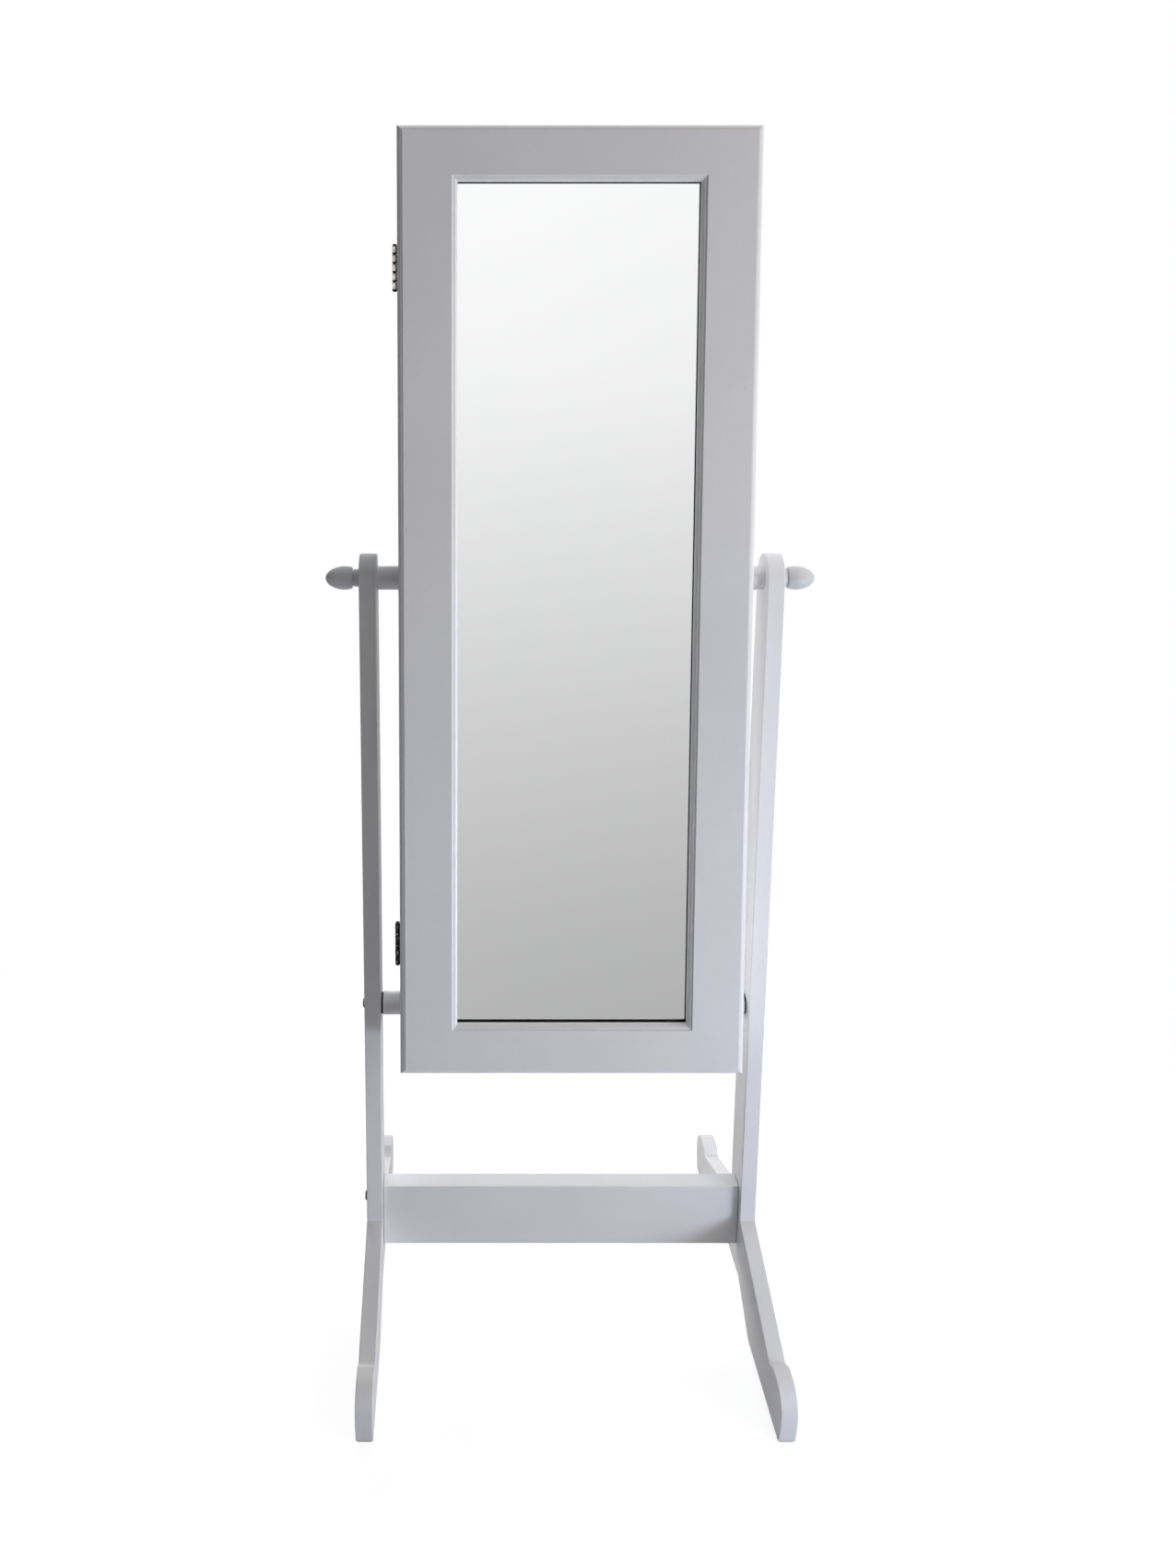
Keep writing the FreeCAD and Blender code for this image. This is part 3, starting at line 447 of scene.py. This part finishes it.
def mirror_pieces():
    """The silvered layer, and four thin near-black strips all round the opening: painted shade under the moulding.
    """
    silver = box_piece(
        "mirror_silver", (-PANE_X, PANE_X), (GLASS_FRONT + SILVER_DEPTH, GLASS_BACK), PANE_W, "mirror", "door"
    )
    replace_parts(silver, "mirror_glass")
    low, high = PANE_W
    inner_x = OPENING_X + RIM_CLEARANCE
    inner_low, inner_high = OPENING_W[0] - RIM_CLEARANCE, OPENING_W[1] + RIM_CLEARANCE
    front = GLASS_FRONT + RIM_SETBACK
    strips = {
        "mirror_rim_left": ((-PANE_X, -inner_x), (low, high)),
        "mirror_rim_right": ((inner_x, PANE_X), (low, high)),
        "mirror_rim_bottom": ((-inner_x, inner_x), (low, inner_low)),
        "mirror_rim_top": ((-inner_x, inner_x), (inner_high, high)),
    }
    for name, (x, w) in strips.items():
        # Each strip is a dark sheet laid where there is only shade: painted shade.
        strip = box_piece(name, x, (front, front + RIM_THICKNESS), w, "painted_shade_rim", "door")
        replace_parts(strip, "mirror_glass")


mirror_pieces()


# The turned knobs, with eased corners and a rounded nose.
UPRIGHT_OUTER = 248.5
KNOB_PROFILE = [  # (distance from the upright, radius) in millimetres
    (0.3, 9.9), (0.45, 10.3), (0.8, 10.5), (6.7, 10.5), (7.1, 10.35), (7.25, 10.0), (7.3, 9.2), (8.85, 9.05),
    (8.95, 11.9), (9.15, 12.35), (9.6, 12.66), (10.8, 13.05), (12.6, 13.5), (14.8, 13.85), (17.9, 14.0),
]
KNOB_NOSE = (17.9, 41.0, 14.0)  # where the nose starts and ends, and its radius
KNOB_AROUND = 96
NOSE_STEPS = 26


def knob(name, side, body):
    """A knob turned about the tilt axis, on the left (side -1) or the right (side 1)."""
    start, tip, radius = KNOB_NOSE
    profile = list(KNOB_PROFILE)
    for i in range(1, NOSE_STEPS):
        turn = math.pi / 2 * i / NOSE_STEPS
        profile.append((start + (tip - start) * math.sin(turn), radius * math.cos(turn)))
    turns = [2 * math.pi * j / KNOB_AROUND for j in range(KNOB_AROUND)]
    rings = []
    for reach, r in profile:
        x = side * (UPRIGHT_OUTER + reach) * MM
        rings.append([Vector((x, r * MM * math.cos(a), TILT_Z + r * MM * math.sin(a))) for a in turns])
    points, faces = rings_to_mesh(rings)
    # The knob takes the darkened white paint: painted shade.
    made = piece(name, points, faces[:-1], "shaded_knob_paint", body)

    # The last ring closes in a point, and only the flat base stays unsmoothed.
    edit = bmesh.new()
    edit.from_mesh(made.data)
    edit.verts.ensure_lookup_table()
    last = [edit.verts[i] for i in range(len(points) - KNOB_AROUND, len(points))]
    nose = edit.verts.new((side * (UPRIGHT_OUTER + tip) * MM, 0, TILT_Z))
    for j in range(KNOB_AROUND):
        edit.faces.new((last[j], last[(j + 1) % KNOB_AROUND], nose))
    bmesh.ops.recalc_face_normals(edit, faces=edit.faces)
    for face in edit.faces:
        face.smooth = len(face.verts) < 5
    edit.to_mesh(made.data)
    edit.free()
    crisp(made, 50)
    return made


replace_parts(knob("left_knob_turned", -1, "left_knob"), "left_knob")
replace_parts(knob("right_knob_turned", 1, "right_knob"), "right_knob")


# ---- Padded pieces -------------------------------------------------------------------------------------------
ROLL_ALONG = 72
ROLL_AROUND = 32
ROLL_END_LENGTH = 0.7  # how far a soft end reaches, as a share of the roll's radius
ROLL_END_SIZE = 0.62  # and how much of the radius is left at its tip
ROLL_LUMPS = (0.012, 0.21)  # depth as a share of the radius, and radians per millimetre


def padded_roll(name, x, v, w, radius, body):
    """A stuffed velvet roll along X with soft ends and slight lumps."""
    lump, pace = ROLL_LUMPS
    rings = []
    for i in range(ROLL_ALONG + 1):
        place = x[0] + (x[1] - x[0]) * (i / ROLL_ALONG)
        from_end = min(place - x[0], x[1] - place)
        end = min(1.0, from_end / (radius * ROLL_END_LENGTH))
        size = radius * (ROLL_END_SIZE + (1 - ROLL_END_SIZE) * math.sqrt(max(0.0, 1 - (1 - end) ** 2)))
        size *= 1 - lump * (1 + math.sin(place * pace + w)) / 2
        ring = []
        for j in range(ROLL_AROUND):
            turn = 2 * math.pi * j / ROLL_AROUND
            ring.append(leaned(place, v + size * math.cos(turn), w + size * math.sin(turn)))
        rings.append(ring)
    points, faces = rings_to_mesh(rings)
    made = piece(name, points, faces, "velvet", body)
    return made


TRAY_X = (-162.0, 162.0)
TRAY_ROOM_W = (7.0, 105.0)
TRAY_ROOM_BACK = 43.0
ROLLS = 5
ROLL_GAP = 1.0


def ring_rolls():
    """The rolls that fill the ring tray, one above another."""
    pitch = (TRAY_ROOM_W[1] - TRAY_ROOM_W[0]) / ROLLS
    radius = (pitch - ROLL_GAP) / 2
    for i in range(ROLLS):
        w = TRAY_ROOM_W[0] + pitch * (i + 0.5)
        roll = padded_roll(f"ring_roll_{i + 1}", TRAY_X, TRAY_ROOM_BACK - radius, w, radius, "cabinet")
        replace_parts(roll, "ring_rolls")


ring_rolls()

BAR_W = (-60.0, 120.0, 300.0)
BAR_SIZE = (240.0, 11.0, 20.0)  # length, depth and height
BAR_BACK = -57.5
BAR_CORNER = 2.4  # radius of its two front edges
BAR_CORNER_STEPS = 4
BAR_EASE = (0.7, 0.6)  # how far its upper back edge is cut, forwards and down
BAR_END = (3.0, 1.6)  # how long its soft ends are, and how much they shrink
BAR_END_RINGS = (0.0, 0.4, 1.2, 3.0)  # from each end
SLITS = 15
SLIT_PITCH = 14.0
SLIT_DEPTH = 9.0
SLIT_HALF = 0.5
SLIT_LIP = (0.62, 1.4, 0.8)  # how far from a slit's middle the droop beside it is full, its length and its depth
SLIT_RINGS = (0.4, 0.62, 0.9, 1.6, 3.5, 6.0)  # on both sides of each slit's middle


def bar_section(top, bottom, front):
    """The outline across a bar, as (out from the lining, up from the bar's foot) in millimetres."""
    ease_out, ease_down = BAR_EASE
    turns = [math.pi / 2 * i / BAR_CORNER_STEPS for i in range(BAR_CORNER_STEPS + 1)]
    inner = front - BAR_CORNER
    outline = [(0, bottom), (0, top - ease_down), (ease_out, top)]
    for turn in turns:
        outline.append((inner + BAR_CORNER * math.sin(turn), top - BAR_CORNER + BAR_CORNER * math.cos(turn)))
    for turn in turns:
        outline.append((inner + BAR_CORNER * math.cos(turn), bottom + BAR_CORNER - BAR_CORNER * math.sin(turn)))
    outline.append((ease_out, bottom))
    return outline


def earring_bar(name, w):
    """A foam bar under velvet, slit along its top for earrings."""
    length, depth, height = BAR_SIZE
    end_length, end_shrink = BAR_END
    lip_start, lip_length, lip_droop = SLIT_LIP
    slits = [(i - (SLITS - 1) / 2) * SLIT_PITCH for i in range(SLITS)]
    places = {side * (length / 2 - inset) for side in (-1, 1) for inset in BAR_END_RINGS}
    places |= {slit + side * offset for slit in slits for side in (-1, 1) for offset in SLIT_RINGS}
    rings = []
    for x in sorted(places):
        nearest = min(abs(x - slit) for slit in slits)
        if nearest < SLIT_HALF:
            sunk = SLIT_DEPTH
        else:
            sunk = lip_droop * max(0.0, 1 - max(0.0, nearest - lip_start) / lip_length)
        shrink = end_shrink * max(0.0, 1 - (length / 2 - abs(x)) / end_length) ** 2
        section = bar_section(height - sunk - shrink, shrink, depth - shrink)
        rings.append([leaned(x, BAR_BACK + out, w + up) for out, up in section])
    points, faces = rings_to_mesh(rings)
    made = piece(name, points, faces, "velvet", "door")
    crisp(made, 60)
    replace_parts(made, "earring_bars")


for number, foot in enumerate(BAR_W):
    earring_bar(f"earring_bar_{number + 1}", foot)


# ---- Stage ---------------------------------------------------------------------------------------------------
PICTURE = (1276, 1702)  # the photograph's width and height in pixels
FOCAL_LENGTH = 1303  # in the same pixels
AXIS_PIXEL = (492, 595)  # where the camera's axis meets the picture, from its top left corner
SENSOR = 36  # millimetres, for the picture's height
CAMERA_PLACE = (-0.138, -1.397, 1.2255)
CAMERA_DOWN = 9.66  # degrees


def camera():
    """The photograph's viewpoint: level with the upper mirror, to the left of its middle, looking a little down."""
    width, height = PICTURE
    data = bpy.data.cameras.new("camera")
    data.sensor_width = SENSOR
    data.lens = SENSOR * FOCAL_LENGTH / height
    data.shift_x = (width / 2 - AXIS_PIXEL[0]) / height
    data.shift_y = (AXIS_PIXEL[1] - height / 2) / height
    made = in_scene("camera", data)
    made.location = CAMERA_PLACE
    made.rotation_euler = Euler((math.radians(90 - CAMERA_DOWN), 0, 0))
    bpy.context.scene.camera = made


FLOOR_REACH = 9.0
FLOOR_FADE = (0.45, 1.3)  # how far from the middle it starts to turn plain white, and is
FLOOR_LIT = (0.81, 0.815, 0.845)  # the colour that the object gets light from
FLOOR_SHADOWED = (0.30, 0.30, 0.30)  # what the camera sees near the object: a part that takes shadows
FLOOR_GLOW = (0.86, 0.86, 0.86)  # and a part that doesn't


def floor():
    """A white floor that keeps a soft shadow near the object and is plain white further out."""
    mesh = bpy.data.meshes.new("floor")
    corners = [(-1, -1), (1, -1), (1, 1), (-1, 1)]
    mesh.from_pydata([(x * FLOOR_REACH, y * FLOOR_REACH, 0) for x, y in corners], [], [(0, 1, 2, 3)])
    made = in_scene("floor", mesh)
    material = bpy.data.materials.new("floor")
    tree = emptied(material)

    near = shader_node(tree, "AddShader")
    tree.links.new(coloured(tree, "BsdfDiffuse", FLOOR_SHADOWED), near.inputs[0])
    tree.links.new(coloured(tree, "Emission", FLOOR_GLOW), near.inputs[1])
    distance = shader_node(tree, "VectorMath", operation="LENGTH")
    tree.links.new(shader_node(tree, "TexCoord").outputs["Object"], distance.inputs[0])
    fade = map_range(tree, distance.outputs["Value"], *FLOOR_FADE, interpolation_type="SMOOTHSTEP")
    seen = mixed_shader(tree, fade, near.outputs[0], coloured(tree, "Emission", WHITE))
    camera_ray = shader_node(tree, "LightPath").outputs["Is Camera Ray"]
    above = mixed_shader(tree, camera_ray, coloured(tree, "BsdfDiffuse", FLOOR_LIT), seen)
    from_below = shader_node(tree, "NewGeometry").outputs["Backfacing"]
    surface = mixed_shader(tree, from_below, above, coloured(tree, "BsdfTransparent", WHITE))
    tree.links.new(surface, shader_node(tree, "OutputMaterial").inputs["Surface"])
    mesh.materials.append(material)
    made.visible_glossy = False


MIRRORED = [  # how bright the surroundings are in reflections, by the height of the direction
    (-1.00, 0.36), (-0.60, 0.38), (-0.376, 0.500), (-0.31, 0.540), (-0.17, 0.655), (-0.02, 0.808), (0.13, 0.962),
    (0.276, 1.03), (0.50, 1.06), (1.00, 1.06),
]
SIDE_FALL = -0.16  # added straight to the right, and taken off straight to the left
AMBIENT_RIGHT = 0.81  # how bright the soft light is straight from the right
AMBIENT_TINT = (1.025, 0.995, 0.965)


def world():
    """White behind the object, an even grey fall in reflections, and soft light from the right."""
    made = bpy.data.worlds.new("world")
    bpy.context.scene.world = made
    tree = emptied(made)
    direction = shader_node(tree, "SeparateXYZ")
    tree.links.new(shader_node(tree, "TexCoord").outputs["Generated"], direction.inputs[0])

    ramp = shader_node(tree, "ValToRGB")
    tree.links.new(maths(tree, "MULTIPLY_ADD", direction.outputs["Z"], 0.5, 0.5), ramp.inputs["Fac"])
    stops = ramp.color_ramp.elements
    while len(stops) < len(MIRRORED):
        stops.new(0.5)
    for stop, (z, level) in zip(stops, MIRRORED):
        stop.position = z * 0.5 + 0.5
        stop.color = (level, level, level, 1)
    reflected = shader_node(tree, "VectorMath", operation="ADD")
    tree.links.new(ramp.outputs["Color"], reflected.inputs[0])
    tree.links.new(maths(tree, "MULTIPLY", direction.outputs["X"], SIDE_FALL), reflected.inputs[1])

    from_right = maths(tree, "MAXIMUM", direction.outputs["X"], 0.0)
    ambient = shader_node(tree, "VectorMath", operation="SCALE")
    ambient.inputs[0].default_value = AMBIENT_TINT
    tree.links.new(maths(tree, "MULTIPLY", from_right, AMBIENT_RIGHT), ambient.inputs["Scale"])

    path = shader_node(tree, "LightPath")
    unseen = mixed_colour(tree, path.outputs["Is Glossy Ray"], ambient.outputs[0], reflected.outputs[0])
    seen = maths(tree, "MAXIMUM", path.outputs["Is Camera Ray"], path.outputs["Is Transmission Ray"])
    background = shader_node(tree, "Background")
    tree.links.new(mixed_colour(tree, seen, unseen, WHITE), background.inputs["Color"])
    tree.links.new(background.outputs[0], shader_node(tree, "OutputWorld").inputs["Surface"])


LIGHTS = [  # name, place, what it points at, size, power in watts, colour, whether reflections show it
    ("window", (1.75, -0.75, 1.05), (0.0, -0.05, 0.75), (0.7, 1.7), 5.2, (1.06, 0.995, 0.925), True),
    ("right", (1.35, -1.15, 1.05), (0.0, -0.05, 0.75), (0.7, 1.7), 4.5, (1.06, 0.995, 0.925), True),
    ("right_low", (1.3, -1.1, 0.24), (0.0, -0.05, 0.45), (0.6, 0.42), 8.4, (0.83, 0.965, 1.26), True),
    ("right_high", (1.15, -0.95, 2.1), (0.0, -0.05, 1.0), (0.6, 0.9), 3.0, (1.12, 0.985, 0.82), True),
    ("back_left", (-0.9, 2.2, 1.0), (0.23, 0.0, 0.9), (0.8, 1.6), 40.0, (1.03, 0.998, 0.955), False),
    ("above", (0.2, 0.7, 3.6), (0.0, 0.0, 0.6), (1.4, 1.0), 42.0, (0.92, 0.99, 1.10), False),
]


def lights():
    """Soft panels: a window's light from the right, and a fill behind and above for the other sides."""
    for name, place, target, size, power, colour, reflected in LIGHTS:
        data = bpy.data.lights.new(name, "AREA")
        data.shape = "RECTANGLE"
        data.size, data.size_y = size
        data.energy = power
        data.color = colour
        made = in_scene(name, data)
        made.location = place
        made.rotation_euler = (Vector(target) - Vector(place)).to_track_quat("-Z", "Y").to_euler()
        made.visible_camera = False
        made.visible_glossy = reflected


camera()
floor()
world()
lights()
bpy.context.scene.view_settings.view_transform = "Standard"
